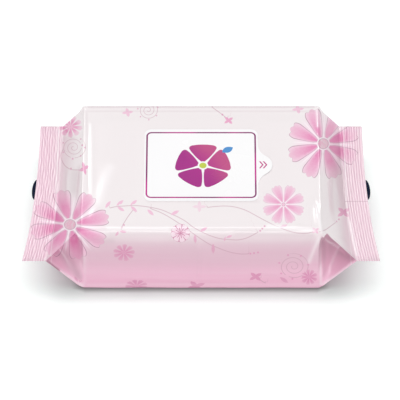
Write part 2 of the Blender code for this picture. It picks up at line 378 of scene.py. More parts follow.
def makeGrid(name, p):
    rows, cols = p.shape[:2]
    index = np.arange(rows * cols).reshape(rows, cols)
    a, b = index[:-1], np.roll(index, -1, axis=1)[:-1]
    c, d = np.roll(index, -1, axis=1)[1:], index[1:]
    quads = np.stack([a, b, c, d], axis=2).reshape(-1, 4).tolist()
    ends = []
    for row, flip in ((0, False), (rows - 1, True)):
        ring = index[row].tolist()
        for k in range(cols // 2):
            corners = list(dict.fromkeys([ring[k], ring[k + 1], ring[-k - 1], ring[-k]]))
            ends.append(corners if flip else corners[::-1])
    mesh = bpy.data.meshes.new(name)
    mesh.from_pydata((p.reshape(-1, 3) * mm).tolist(), [], quads + ends)
    mesh.validate()
    obj = bpy.data.objects.new(name, mesh)
    scene.collection.objects.link(obj)
    mesh.shade_smooth()
    return obj


wrap = makeGrid("film_wrap", points)
mesh = wrap.data


def pointValues(name, values):
    layer = mesh.attributes.new(name, "FLOAT", "POINT")
    layer.data.foreach_set("value", np.ascontiguousarray(values, dtype=np.float32).ravel())


pointValues("crimp", phase)
pointValues("pocketPaintedShade", pocketPaintedShade)
pointValues("sealed", np.broadcast_to(inSeal[:, None], phase.shape))
pointValues("unfoldU", filmU)
pointValues("unfoldV", filmV)
pointValues("fromTop", np.minimum(np.abs(filmV), girth - np.abs(filmV)))
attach(wrap, "root")
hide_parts("wrapper")
print("film mesh made", len(mesh.polygons))

# where each point of the film is seen in the photo's 400 x 400 picture, to lay out the print
eye = np.array(camera.location) / mm
toPoint = points - eye
ahead = toPoint[:, :, 1] * math.cos(tilt) - toPoint[:, :, 2] * math.sin(tilt)
upward = toPoint[:, :, 1] * math.sin(tilt) + toPoint[:, :, 2] * math.cos(tilt)
pictureMiddle = camSet["picture"] / 2
layX = pictureMiddle + camSet["shift"] + camSet["focalPixels"] * toPoint[:, :, 0] / ahead
layY = pictureMiddle - camSet["focalPixels"] * upward / ahead
facing = -(gridNormals(points) * toPoint).sum(axis=2) / np.linalg.norm(toPoint, axis=2)
shown = (facing > 0.03).ravel()

# printed motifs: kind, middle across and down the picture, reach across and down, turn in degrees
motifs = [
    ("daisy", 70.0, 224.6, 40.0, 35.5, 13.7),
    ("daisy", 323.3, 143.7, 36.5, 36.5, 19.7),
    ("bloom", 283.5, 204.4, 21.5, 20.0, 22.5),
    ("lace", 180.5, 233.0, 9.8, 9.4, 12),
    ("aster", 124.0, 252.6, 11.0, 8.6, 5),
    ("aster", 136.5, 286.0, 11.5, 6.5, 22),
    ("aster", 70.5, 126.5, 12.0, 11.0, 30),
    ("aster", 309.0, 277.0, 8.4, 8.0, 20),
    ("star", 255.6, 276.6, 7.8, 5.4, 40),
    ("star", 228.6, 120.4, 5.6, 4.6, 40),
    ("soft", 127.6, 112.4, 6.0, 4.6, 10),
    ("star", 196.0, 286.0, 10.5, 5.6, 30),
    ("star", 84.2, 168.4, 5.2, 7.0, 20),
    ("star", 343.6, 212.3, 8.0, 6.4, 42),
    ("soft", 298.0, 109.2, 6.4, 4.6, 10),
    ("soft", 315.6, 230.6, 4.4, 4.0, 40),
    ("pale", 199.4, 206.6, 7.2, 5.6, 0),
    ("coil", 73.6, 147.5, 12.6, 12.0, 0),
    ("coil", 148.0, 110.2, 11.4, 10.6, 120),
    ("coil", 293.5, 266.5, 16.5, 13.6, 60),
]
# leaves: middle, reach, turn
leaves = [
    (108.3, 204.0, 4.0, 52), (120.4, 202.7, 4.3, 40), (121.4, 209.2, 3.8, -32),
    (134.2, 202.3, 3.9, 38), (134.4, 209.5, 3.9, -42), (151.0, 212.8, 4.0, -43),
    (175.6, 212.4, 4.2, 26), (204.2, 229.2, 3.9, 28), (226.0, 237.6, 3.2, 60),
    (229.6, 236.4, 3.0, 20), (195.2, 239.6, 4.0, -84), (213.2, 249.4, 4.6, -88),
    (117.8, 233.0, 3.2, 50), (122.6, 231.6, 3.2, 170), (284.6, 225.4, 4.4, 30),
    (284.6, 280.4, 4.6, -34), (79.0, 281.5, 3.6, 20), (76.0, 279.0, 3.2, 120),
]
beads = [(124.0, 225.0), (122.0, 227.4), (260.2, 230.8), (262.3, 228.6), (264.6, 226.2)]
beads += [(250.4, 253.6), (254.0, 253.1), (258.0, 252.4), (336.9, 221.3), (338.9, 219.3)]
beads += [(341.2, 216.4), (222.4, 114.6), (225.2, 117.4), (82.2, 145.2), (72.6, 158.8)]
beads += [(71.0, 168.6)]
motifs += [("leaf", x, y, reach, reach, turn) for x, y, reach, turn in leaves]
motifs += [("dot", x, y, 1.15, 1.15, 0) for x, y in beads]
# the same print on the faces turned away from the picture: kind, middle, reach in mm, turn
farMotifs = [
    ("daisy", -46, 92, 24, 8),
    ("bloom", 26, 80, 14, 5),
    ("aster", 62, 104, 10, 15),
    ("aster", -2, 108, 8, 10),
    ("coil", 60, 76, 12, 30),
    ("star", -8, 72, 5.5, 40),
    ("star", -72, 68, 5, 10),
    ("leaf", 2, 90, 4, 40),
    ("leaf", 8, 84, 4, -30),
    ("daisy", 36, 146, 24, 20),
    ("bloom", -30, 142, 14, 5),
    ("aster", -58, 128, 9, 15),
    ("coil", -2, 160, 12, 200),
    ("star", 70, 128, 5.5, 30),
    ("daisy", -36, -148, 22, 2),
    ("aster", 24, -138, 10, 15),
    ("bloom", 62, -146, 14, 5),
    ("star", 0, -152, 5.5, 12),
    ("aster", 95, 142, 10, 8),
    ("coil", 94, 166, 10, 0),
    ("bloom", 95, -142, 12, 5),
    ("star", 96, 118, 5, 30),
    ("bloom", -95, 146, 12, 15),
    ("aster", -95, -146, 10, 8),
    ("star", -96, 122, 5, 30),
    ("coil", -94, 168, 10, 90),
]
# petals, petal width, outline, depth, shape, and the heart or, below 0, the joined middle
# shapes: 0 scalloped, 1 coil, 2 dot, 3 pointed
kinds = {
    "daisy": (8, 0.8, 1.0, 1.0, 0, 0.14),
    "bloom": (8, 0.86, 0.45, 0.7, 0, 0.08),
    "lace": (8, 1.16, 2.0, 0.26, 0, 0),
    "aster": (9, 0.86, 0.0, 1.0, 0, -0.3),
    "star": (4, 0.27, 0.0, 0.8, 3, -0.2),
    "soft": (4, 0.28, 0.0, 0.42, 3, -0.2),
    "pale": (4, 0.26, 0.0, 0.3, 3, 0),
    "leaf": (1, 0.2, 0.0, 0.45, 3, 0),
    "dot": (1, 0.0, 0.0, 0.7, 2, 0),
    "coil": (1, 0.0, 0.0, 0.5, 1, 0),
}
# vines as runs across and down the picture
vines = [
    [(110, 208), (116, 206.6), (124, 206), (133, 205.6), (141, 206), (152, 207.6), (162, 210)]
    + [(170, 213.4), (178, 217), (186, 221.6), (192, 226.4), (200, 231), (210, 235.6), (220, 238.6)]
    + [(230, 239.6), (238, 239.9), (246, 238.2), (252, 235.5), (258, 232.2)],
    [(150, 208.4), (160, 212.2), (168, 216.4), (176, 221.4), (184, 227), (191, 232), (198, 237)]
    + [(205, 241.6), (211, 245), (217, 247.4), (224, 250.2), (232, 252.6), (241, 254)]
    + [(249, 253.8)],
    [(133, 210), (128.4, 216), (125.2, 221), (122.8, 225), (121, 229)],
    [(206, 207.6), (215, 206.5), (225, 206), (235, 207), (245, 210), (253, 214), (262, 219)]
    + [(269, 222.6), (276, 226), (283, 229), (290, 231.4), (297, 233), (306, 233.4), (313, 232)],
    [(319, 232), (325, 230), (330, 226.6), (335.6, 222.4)],
    [(62.5, 150), (61, 156), (62.6, 162), (66.4, 167), (72, 169.6), (80, 170)],
    [(211.7, 106.9), (216, 110), (221.5, 114), (227, 118.6)],
    [(259, 279), (262.4, 281.4), (266, 283.6)],
]
# and on the far faces, in unfolded mm
farVines = [
    [(-24, 98), (-14, 90), (-4, 86), (6, 88), (14, 92)],
    [(38, 88), (48, 94), (56, 90), (70, 84), (76, 92)],
    [(-70, 116), (-52, 122), (-30, 118), (-8, 124), (14, 120), (40, 116)],
    [(-60, -124), (-40, -120), (-14, -126), (10, -122), (36, -126), (60, -122)],
]


def curveThrough(knots):
    # a smooth run through the knots
    k = np.array(knots)
    ends = np.vstack([2 * k[0] - k[1], k, 2 * k[-1] - k[-2]])
    run = []
    for i in range(1, len(ends) - 2):
        t = np.linspace(0, 1, 14, endpoint=False)[:, None]
        a, b, c, d = ends[i - 1 : i + 3]
        start = 2 * b + (c - a) * t + (2 * a - 5 * b + 4 * c - d) * t**2
        run.append(0.5 * (start + (3 * b - a - 3 * c + d) * t**3))
    return np.vstack([*run, k[-1:]])


def sideDistance(u, v, run):
    # distance to the run, with a sign for its side
    spot = np.stack([u, v], axis=1)
    best = np.full(len(spot), 99.0)
    a, b = run[:-1], run[1:]
    for p, q in zip(a, b):
        d = q - p
        t = ((spot - p) @ d) / (d @ d)
        off = spot - p - np.clip(t, 0, 1)[:, None] * d
        far = np.linalg.norm(off, axis=1)
        sign = np.where((d[0] * off[:, 1] - d[1] * off[:, 0]) >= 0, 1.0, -1.0)
        best = np.where(far < np.abs(best), far * sign, best)
    for tip, inner in ((run[0], run[1]), (run[-1], run[-2])):
        past = ((spot - tip) @ (tip - inner)) > 0
        close = np.linalg.norm(spot - tip, axis=1) < np.abs(best) + 1e-6
        best = np.where(past & close, np.abs(best), best)
    return best


flatX, flatY = layX.ravel(), layY.ravel()

# painted highlights and painted shade along runs where the tight film catches the studio light:
# run, reach, strength, which is painted shade below 0
paintedLightRuns = [
    ([(320.4, 240), (320.8, 284)], 1.2, 0.4),
    ([(319, 238), (314.6, 248), (309, 262)], 2.0, 0.42),
    ([(322, 238), (334, 244.6), (346, 252.4)], 1.1, 0.6),
    ([(324, 284), (340, 273.6), (357, 262.4)], 1.8, 0.5),
    ([(45.5, 260.5), (59.5, 271), (82, 285.4)], 2.0, 0.5),
    ([(84, 254), (84.6, 284)], 2.2, 0.16),
    ([(268, 225.4), (290, 228), (314, 230.6)], 1.6, 0.75),
    ([(108, 228.2), (140, 228.4), (168, 228.8)], 1.4, 0.7),
    ([(317, 208), (319.4, 220), (321.6, 231)], 1.6, 0.8),
    ([(350, 222), (353.4, 240), (357, 255)], 1.2, 0.6),
    ([(90, 124), (90.6, 150), (91.2, 194)], 1.2, 0.75),
    ([(110, 168), (103, 186), (98, 202)], 4.5, 0.5),
    ([(88, 284.8), (320, 284.8)], 1.2, 0.2),
    ([(88, 106.8), (314, 106.8)], 0.8, -0.3),
    ([(148, 201.6), (258, 201.6)], 1.0, -0.14),
    ([(88, 110.9), (314, 110.9)], 0.7, -0.24),
    ([(75, 174), (74.4, 190)], 6.5, -0.26),
    ([(86.4, 112), (88, 150), (88, 190)], 1.3, -0.14),
    ([(66, 140), (64, 190)], 4.0, -0.1),
    ([(343, 150), (346, 203)], 11.0, -0.27),
    ([(336, 168), (338, 208)], 6.5, -0.14),
    ([(316.6, 109), (317.6, 126)], 1.3, 0.6),
    ([(341, 222), (346, 246)], 6.0, -0.2),
    ([(324, 242), (324.6, 274)], 2.4, -0.22),
    ([(340, 252), (352, 259)], 4.0, -0.3),
    ([(24, 260.4), (45.6, 261.6)], 0.7, -0.5),
    ([(359, 262), (379, 260.4)], 0.7, -0.5),
    ([(64, 254), (71, 264), (78, 276)], 5.2, -0.48),
    ([(87, 240.5), (112, 241)], 3.0, -0.16),
    ([(236, 233.5), (312, 234.5)], 2.6, -0.14),
    ([(110, 233.5), (168, 233.5)], 2.4, -0.12),
]
paintedLightAndShade = np.zeros(flatX.shape)
for run, wide, strong in paintedLightRuns:
    gap = np.abs(sideDistance(flatX, flatY, np.array(run, dtype=float)))
    paintedLightAndShade += strong * np.exp(-((gap / wide) ** 2)) * shown
# the seals take little of the painted shade
paintedLightAndShade = np.where(paintedLightAndShade < 0, paintedLightAndShade * (1 - 0.85 * np.repeat(inSeal, columns)), paintedLightAndShade)
pointValues("paintedLightAndShade", np.clip(paintedLightAndShade, -1, 1))

for number, knots in enumerate(vines):
    run = curveThrough(knots)
    near = np.full(flatX.shape, 99.0)
    low, high = run.min(axis=0) - 5, run.max(axis=0) + 5
    inside = (flatX > low[0]) & (flatX < high[0]) & shown
    inside &= (flatY > low[1]) & (flatY < high[1])
    near[inside] = sideDistance(flatX[inside], flatY[inside], run)
    if number < len(farVines):
        farRun = curveThrough(farVines[number])
        farPlace = filmU.ravel()[~shown], filmV.ravel()[~shown]
        near[~shown] = sideDistance(*farPlace, farRun) * 1.5  # pixels to the mm
    pointValues("vine" + str(number), near)

loopVerts = np.empty(len(mesh.loops), dtype=np.int64)
mesh.loops.foreach_get("vertex_index", loopVerts)
starts = np.empty(len(mesh.polygons), dtype=np.int64)
sizes = np.empty(len(mesh.polygons), dtype=np.int64)
mesh.polygons.foreach_get("loop_start", starts)
mesh.polygons.foreach_get("loop_total", sizes)
faceOf = np.repeat(np.arange(len(starts)), sizes)
bloomAt = np.full((len(loopVerts), 2), 9.0)
facts = np.zeros((6, len(starts)))
closest = np.full(len(starts), 9.0)
flowerAway = np.full(len(starts), 9.0)


def faceMean(values):
    return np.add.reduceat(values[loopVerts], starts) / sizes


def layMotif(motif, across, up, allowed):
    # gives the faces round the motif its kind and its own coordinates
    kind, x0, y0, reachX, reachY, turn = motif
    a = math.radians(turn)

    def own(x, y):
        x, y = (x - x0) / reachX, (y - y0) / reachY
        x, y = x * math.cos(a) + y * math.sin(a), y * math.cos(a) - x * math.sin(a)
        # a leaf grows from its stem end
        return (x / 2 + 0.5, y / 2) if kind == "leaf" else (x, y)

    fx, fy = own(faceMean(across), faceMean(up))
    isSmall = kinds[kind][0] in (1, 4) and kind != "coil"
    fromHeart = 2 * np.hypot(fx - 0.5, fy) if kind == "leaf" else np.hypot(fx, fy)
    border = 1.06 + (1.2 if isSmall else 2.0) / min(reachX, reachY)
    mine = (fromHeart < border) & (fromHeart / border < closest) & allowed
    if isSmall:
        mine = (fromHeart < border) & (flowerAway > 1.0) & allowed
    if kind not in ("coil", "leaf", "dot"):
        flowerAway[allowed] = np.minimum(flowerAway, fromHeart)[allowed]
    closest[mine] = (fromHeart / border)[mine]
    for row, value in enumerate(kinds[kind]):
        facts[row][mine] = value
    corners = mine[faceOf]
    lx, ly = own(across[loopVerts], up[loopVerts])
    bloomAt[corners, 0] = lx[corners]
    bloomAt[corners, 1] = ly[corners]


faceShown = faceMean(shown.astype(float)) > 0.99
for kind, x, y, reachX, reachY, turn in motifs:
    layMotif((kind, x, -y, reachX, reachY, turn), flatX, -flatY, faceShown)
for kind, u, v, reach, turn in farMotifs:
    layMotif((kind, u, v, reach, reach, turn), filmU.ravel(), filmV.ravel(), ~faceShown)
bloomLayer = mesh.uv_layers.new(name="bloom")
bloomLayer.data.foreach_set("uv", bloomAt.astype(np.float32).ravel())
for name, row in zip(("petals", "petalWidth", "outline", "depth", "shape", "heart"), facts):
    layer = mesh.attributes.new(name, "FLOAT", "FACE")
    layer.data.foreach_set("value", row.astype(np.float32))
print("print laid out", len(motifs) + len(farMotifs), "motifs")


class Nodes:
    # short names for building the node tree of a material or the world
    def __init__(self, owner, shader="Principled BSDF"):
        self.owner = owner
        owner.use_nodes = True
        self.tree = owner.node_tree
        self.shader = self.tree.nodes[shader]

    def put(self, socket, value):
        if isinstance(value, bpy.types.NodeSocket):
            self.tree.links.new(value, socket)
        elif socket.type == "RGBA" and len(value) == 3:
            socket.default_value = (*value, 1)
        else:
            socket.default_value = value

    def math(self, what, a, b=None, c=None, clamp=False):
        node = self.tree.nodes.new("ShaderNodeMath")
        node.operation = what
        node.use_clamp = clamp
        for socket, value in zip(node.inputs, (a, b, c)):
            if value is not None:
                self.put(socket, value)
        return node.outputs[0]

    def times(self, a, b):
        return self.math("MULTIPLY", a, b)

    def plus(self, a, b, clamp=False):
        return self.math("ADD", a, b, clamp=clamp)

    def minus(self, a, b):
        return self.math("SUBTRACT", a, b)

    def over(self, a, b):
        return self.math("DIVIDE", a, b)

    def size(self, a):
        return self.math("ABSOLUTE", a)

    def offWhole(self, a):
        # distance to the nearest whole number
        return self.size(self.minus(a, self.math("ROUND", a)))

    def larger(self, a, b):
        return self.math("MAXIMUM", a, b)

    def smaller(self, a, b):
        return self.math("MINIMUM", a, b)

    def read(self, name, vector=False):
        node = self.tree.nodes.new("ShaderNodeAttribute")
        node.attribute_name = name
        return node.outputs["Vector" if vector else "Fac"]

    def split(self, vector):
        node = self.tree.nodes.new("ShaderNodeSeparateXYZ")
        self.put(node.inputs[0], vector)
        return node.outputs

    def ramp(self, value, low, high, toLow=0.0, toHigh=1.0):
        node = self.tree.nodes.new("ShaderNodeMapRange")
        node.interpolation_type = "SMOOTHSTEP"
        names = ("From Min", "From Max", "To Min", "To Max")
        for key, item in zip(names, (low, high, toLow, toHigh)):
            self.put(node.inputs[key], item)
        self.put(node.inputs["Value"], value)
        return node.outputs["Result"]

    def blend(self, fac, a, b):
        node = self.tree.nodes.new("ShaderNodeMix")
        node.data_type = "RGBA"
        self.put(node.inputs["Factor"], fac)
        self.put(node.inputs["A"], a)
        self.put(node.inputs["B"], b)
        return node.outputs["Result"]

    def noise(self, scale, detail=2.0, vector=None, rough=0.5):
        node = self.tree.nodes.new("ShaderNodeTexNoise")
        node.inputs["Scale"].default_value = scale
        node.inputs["Detail"].default_value = detail
        node.inputs["Roughness"].default_value = rough
        if vector is None:
            vector = self.place()
        self.put(node.inputs["Vector"], vector)
        return node.outputs["Fac"]

    def place(self, kind="Object"):
        return self.tree.nodes.new("ShaderNodeTexCoord").outputs[kind]

    def stretch(self, scale):
        node = self.tree.nodes.new("ShaderNodeMapping")
        self.put(node.inputs["Vector"], self.place())
        node.inputs["Scale"].default_value = scale
        return node.outputs["Vector"]

    def curve(self, value, spots):
        node = self.tree.nodes.new("ShaderNodeFloatCurve")
        line = node.mapping.curves[0]
        for x, y in spots[1:-1]:
            line.points.new(x, y)
        line.points[0].location = spots[0]
        line.points[-1].location = spots[-1]
        node.mapping.update()
        self.put(node.inputs["Value"], value)
        return node.outputs[0]

    def bump(self, height, strength, distance):
        node = self.tree.nodes.new("ShaderNodeBump")
        node.inputs["Strength"].default_value = strength
        node.inputs["Distance"].default_value = distance
        self.put(node.inputs["Height"], height)
        self.put(self.shader.inputs["Normal"], node.outputs[0])

    def finish(self, values):
        for name, value in values.items():
            self.put(self.shader.inputs[name], value)
        return self.owner


def petalShape(n, x, y, count, width, scallops=0.06):
    # how far inside a petal a point is, how far along it, its distance from the middle, its turn
    r = n.math("SQRT", n.plus(n.times(x, x), n.times(y, y)))
    turn = n.over(n.math("ARCTAN2", y, x), 2 * math.pi)
    lap = n.times(turn, count)
    offAxis = n.minus(lap, n.math("ROUND", lap))
    angle = n.over(n.times(offAxis, 2 * math.pi), count)
    along = n.times(r, n.math("COSINE", angle))
    across = n.times(r, n.size(n.math("SINE", angle)))
    scallop = n.times(n.size(n.math("COSINE", n.times(across, 17.0))), -scallops)
    nearTip = n.plus(n.plus(along, scallops), scallop)
    spots = [(0, 0), (0.15, 0.1), (0.2, 0.18), (0.35, 0.44), (0.55, 0.72), (0.72, 0.92)]
    spots += [(0.84, 1.0), (0.92, 0.92), (0.975, 0.6), (1.0, 0.0)]
    half = n.times(n.curve(nearTip, spots), n.times(width, 0.27))
    # pointed petals and leaves
    bow = n.minus(n.times(along, 1.75), 0.75)
    bow = n.minus(1.0, n.times(bow, bow))
    pointed = n.times(bow, width)
    return half, pointed, across, along, r, turn


def filmMaterial():
    inks = {
        "white": (0.87, 0.815, 0.825),
        "pink": (0.87, 0.49, 0.65),
        "light": (0.90, 0.66, 0.78),
        "deep": (0.76, 0.20, 0.44),
        "line": (0.38, 0.16, 0.26),
        "dusty": (0.52, 0.27, 0.36),
        "shadow": (0.40, 0.25, 0.31),
        "glow": (0.99, 0.95, 0.965),
        "haze": (0.92, 0.65, 0.79),
        "onPink": (0.68, 0.26, 0.44),
        "onPinkDaisy": (0.62, 0.18, 0.37),
        "inShade": (0.58, 0.27, 0.39),
        "lace": (0.50, 0.07, 0.24),
        "heartRing": (0.93, 0.80, 0.87),
        "heartRose": (0.76, 0.36, 0.51),
        "heartGrey": (0.74, 0.52, 0.60),
        "heartSmall": (0.88, 0.56, 0.70),
        "bead": (0.68, 0.21, 0.42),
        "paintedGrooveShade": (0.55, 0.28, 0.41),
        "seam": (0.5, 0.3, 0.38),
    }
    printed = {
        "girth": 120.0,  # mm from the top's middle to the end of the curves below
        "spiralTurns": 3.2,
        "beads": 7.0,
        "beadRing": 0.9,
        "lipAt": 110.2,
        "seamAt": 7.8,
        "seamFrom": 109.0,
    }
    # how pink the film is, and how much painted shade it takes, from the top's middle down and
    # round to the underside
    pinker = [(0, 0.0), (0.41, 0.02), (0.46, 0.12), (0.51, 0.33), (0.58, 0.63), (0.68, 0.78)]
    pinker += [(0.8, 0.9), (0.91, 1.0), (1.0, 1.0)]
    paintedShadeCurve = [(0, 0.0), (0.42, 0.0), (0.455, 0.08), (0.5, 0.19), (0.56, 0.3), (0.66, 0.3)]
    paintedShadeCurve += [(0.8, 0.07), (1.0, 0.0)]

    n = Nodes(bpy.data.materials.new("printed_film"))
    bloom = n.split(n.read("bloom", vector=True))
    petals, outline, depth = n.read("petals"), n.read("outline"), n.read("depth")
    shape, heart, sealed = n.read("shape"), n.read("heart"), n.read("sealed")
    filmAlong, filmRound = n.read("unfoldU"), n.read("unfoldV")
    fromMiddle = n.size(filmAlong)
    count = n.larger(petals, 1.0)
    half, pointed, across, along, r, turn = petalShape(
        n, bloom[0], bloom[1], count, n.read("petalWidth")
    )
    isPointed = n.math("COMPARE", shape, 3.0, 0.1)
    isCoil = n.math("COMPARE", shape, 1.0, 0.1)
    isLace = n.math("GREATER_THAN", outline, 1.5)
    isHeart = n.math("GREATER_THAN", heart, 0.01)
    insideRound = n.times(n.minus(half, across), n.minus(1.0, isPointed))
    inside = n.plus(insideRound, n.times(n.minus(pointed, across), isPointed))
    isPetalShape = n.plus(n.math("LESS_THAN", shape, 0.5), isPointed)
    hasPetals = n.times(n.math("GREATER_THAN", petals, 0.5), isPetalShape)
    cloud = n.noise(60, 3)
    # film ground: white on top, pinker towards the base, underside and seals
    down = n.over(n.read("fromTop"), printed["girth"])
    ends = n.times(n.ramp(fromMiddle, 95.0, 118.0), n.ramp(filmAlong, -1.0, 1.0, 0.56, 0.46))
    tint = n.larger(n.curve(down, pinker), ends)
    # faint runs along the sides, where the edges of the sheets press through: a bump, with the same
    # runs also painted into the pink as light and shade
    sheets = n.noise(1.0, 3, vector=n.stretch((9, 9, 210)))
    onSide = n.times(n.ramp(down, 0.41, 0.51), n.ramp(fromMiddle, 80.0, 74.0))
    runs = n.times(n.minus(sheets, 0.5), onSide)
    tint = n.plus(tint, n.times(n.minus(cloud, 0.5), 0.03))
    tint = n.plus(tint, n.times(runs, 0.34), clamp=True)
    colour = n.blend(tint, inks["white"], inks["pink"])
    # a soft band of painted shade under the front and back edges
    paintedShadeBand = n.curve(down, paintedShadeCurve)
    colour = n.blend(paintedShadeBand, colour, inks["shadow"])
    # vines
    thin = None
    for number in range(len(vines)):
        near = n.size(n.read("vine" + str(number)))
        thin = near if thin is None else n.smaller(thin, near)
    stroke = n.times(n.ramp(thin, 0.62, 0.22), 0.56)
    colour = n.blend(stroke, colour, inks["dusty"])
    # a pink haze round the heart, white rays between the petals, a pale disc under the lace
    isFlower = n.ramp(outline, 0.1, 0.25)
    haze = n.times(n.ramp(r, 1.0, 0.35), isFlower)
    colour = n.blend(n.times(haze, 0.85), colour, inks["haze"])
    gap = n.offWhole(n.minus(n.times(turn, count), 0.5))
    gap = n.over(n.times(n.times(gap, r), 2 * math.pi), count)
    ray = n.times(n.ramp(gap, 0.03, 0.01), n.times(n.ramp(r, 0.95, 0.6), isFlower))
    colour = n.blend(n.times(ray, 0.48), colour, inks["glow"])
    disc = n.times(isLace, n.ramp(r, 1.0, 0.9, 0.0, 0.5))
    colour = n.blend(disc, colour, inks["glow"])
    # petals, deep at the root and along the middle, light at the rim and tip
    streak = n.noise(700, 3)
    root = n.ramp(along, 0.72, 0.25)
    spine = n.ramp(n.over(across, n.larger(half, 0.01)), 1.1, 0.3)
    shade = n.times(n.plus(n.times(root, 0.34), 0.6), n.plus(n.times(spine, 0.75), 0.25))
    onGable = n.ramp(fromMiddle, 78.0, 86.0)
    shade = n.plus(shade, n.times(onGable, n.ramp(along, 0.85, 0.4, -0.05, 0.34)))
    shade = n.plus(shade, n.times(n.minus(streak, 0.5), 0.36), clamp=True)
    flatShade = n.plus(n.times(isPointed, n.minus(0.8, shade)), shade)
    petal = n.blend(n.times(flatShade, depth), inks["light"], inks["deep"])
    small = n.times(n.times(tint, 0.5), n.ramp(outline, 0.3, 0.0))
    petal = n.blend(small, petal, inks["onPink"])
    petal = n.blend(n.times(tint, 0.22), petal, inks["onPinkDaisy"])
    # the small motifs take the painted shade of the band as well
    smallInShade = n.times(paintedShadeBand, n.ramp(outline, 0.3, 0.0, 0.0, 1.3))
    petal = n.blend(smallInShade, petal, inks["inShade"])
    joined = n.ramp(n.plus(r, heart), 0.03, -0.02)
    joined = n.times(joined, n.math("LESS_THAN", heart, -0.01))
    fill = n.times(n.larger(n.ramp(inside, 0.0, 0.022), joined), hasPetals)
    # the ink thins towards the tips, and more so on the seals
    roundCover = n.times(n.ramp(along, 1.1, 0.6, 0.6, 0.97), n.ramp(depth, 0.25, 0.5, 0.45, 1.0))
    cover = n.larger(roundCover, n.times(isPointed, n.ramp(depth, 0.25, 0.7, 0.5, 0.85)))
    faded = n.times(sealed, n.ramp(filmAlong, -1.0, 1.0, 0.2, 0.6))
    faded = n.times(faded, n.ramp(along, 0.55, 1.0))
    cover = n.times(cover, n.minus(1.0, faded))
    colour = n.blend(n.times(fill, cover), colour, petal)
    # outlines, wider and pinker on the small lace flower, which has a stroke along each petal too
    penWide = n.plus(n.times(isLace, 0.045), 0.015)
    edge = n.ramp(n.size(n.minus(inside, 0.004)), penWide, n.times(penWide, 0.3))
    pressure = n.times(n.smaller(outline, 1.0), n.ramp(along, 0.25, 0.7, 0.4, 0.76))
    edge = n.times(edge, pressure)
    mid = n.times(n.ramp(across, 0.05, 0.025), n.times(isLace, n.ramp(along, 0.62, 0.5)))
    edge = n.larger(edge, n.times(mid, 0.8))
    colour = n.blend(edge, colour, n.blend(isLace, inks["line"], inks["lace"]))
    # hearts with a pale ring and a thin rim
    pastHeart = n.minus(r, heart)
    colour = n.blend(n.times(n.ramp(pastHeart, 0.05, 0.03), isHeart), colour, inks["heartRing"])
    speck = n.ramp(n.noise(420, 2), 0.42, 0.62)
    heartInk = n.blend(speck, inks["heartRose"], inks["heartGrey"])
    heartInk = n.blend(n.ramp(outline, 0.4, 0.9), inks["heartSmall"], heartInk)
    colour = n.blend(n.times(n.ramp(pastHeart, 0.012, -0.01), isHeart), colour, heartInk)
    rim = n.times(n.ramp(n.size(pastHeart), 0.02, 0.006, 0.0, 0.5), isHeart)
    colour = n.blend(rim, colour, inks["line"])
    # spirals with beads on their outer turn, and plain dots
    lap = n.offWhole(n.minus(n.times(r, printed["spiralTurns"]), turn))
    wire = n.times(n.ramp(lap, 0.1, 0.04), n.times(n.ramp(r, 0.98, 0.95), n.ramp(r, 0.06, 0.1)))
    wire = n.times(n.times(wire, 0.62), isCoil)
    colour = n.blend(wire, colour, inks["dusty"])
    bead = n.times(turn, printed["beads"])
    bead = n.times(n.minus(bead, n.math("ROUND", bead)), 0.9)
    ring = n.minus(r, printed["beadRing"])
    bead = n.math("SQRT", n.plus(n.times(bead, bead), n.times(ring, ring)))
    bead = n.times(n.ramp(bead, 0.09, 0.05, 0.0, 0.6), isCoil)
    dot = n.times(n.ramp(r, 1.0, 0.75, 0.0, 0.6), n.math("COMPARE", shape, 2.0, 0.1))
    colour = n.blend(n.larger(bead, dot), colour, inks["bead"])
    # the crimp grooves get a little painted shade and their crests a painted highlight, and a
    # pricked line crosses the right seal
    fromLine = n.offWhole(n.read("crimp"))
    paintedGrooveShade = n.times(n.ramp(fromLine, 0.24, 0.08), n.times(sealed, 0.43))
    colour = n.blend(paintedGrooveShade, colour, inks["paintedGrooveShade"])
    crest = n.times(n.ramp(fromLine, 0.3, 0.46), n.times(sealed, 0.2))
    colour = n.blend(crest, colour, inks["glow"])
    # a painted highlight along the seal's inner edge
    lip = n.ramp(n.size(n.minus(fromMiddle, printed["lipAt"])), 0.9, 0.2)
    colour = n.blend(n.times(lip, 0.4), colour, inks["glow"])
    seam = n.ramp(n.size(n.plus(filmRound, printed["seamAt"])), 0.4, 0.15, 0.0, 0.55)
    seam = n.times(seam, n.math("GREATER_THAN", filmAlong, printed["seamFrom"]))
    colour = n.blend(seam, colour, inks["seam"])
    # painted shade in the gussets, then the painted highlights and painted shade along the runs
    colour = n.blend(n.read("pocketPaintedShade"), colour, inks["shadow"])
    paintedLightAndShade = n.read("paintedLightAndShade")
    colour = n.blend(n.larger(paintedLightAndShade, 0.0), colour, inks["glow"])
    colour = n.blend(n.larger(n.times(paintedLightAndShade, -1.0), 0.0), colour, inks["shadow"])
    relief = n.plus(n.times(n.noise(420, 3), 0.2), n.noise(80, 2))
    n.bump(n.plus(relief, n.times(runs, 1.6)), 0.1, 0.0006)
    gloss = n.ramp(cloud, 0.3, 0.7, 0.2, 0.26)
    surface = {"Base Color": colour, "Roughness": gloss, "Specular IOR Level": 0.55}
    return n.finish({**surface, "Coat Weight": 0.4, "Coat Roughness": 0.1})


mesh.materials.append(filmMaterial())
print("film printed")


# the label's print, its place and its rim, in metres
labelSet = {
    "halfX": 0.0353,
    "halfY": 0.0269,
    "corner": 0.0030,
    "line": 0.00052,
    "middleY": 0.0018,
    "blossom": 0.0175,
    "leafX": 0.0172,
    "leafY": 0.0125,
    "tabX": 0.0401,
    "chevron": 0.0024,
    "forward": 0.0016,
    "rim": 0.00012,
}


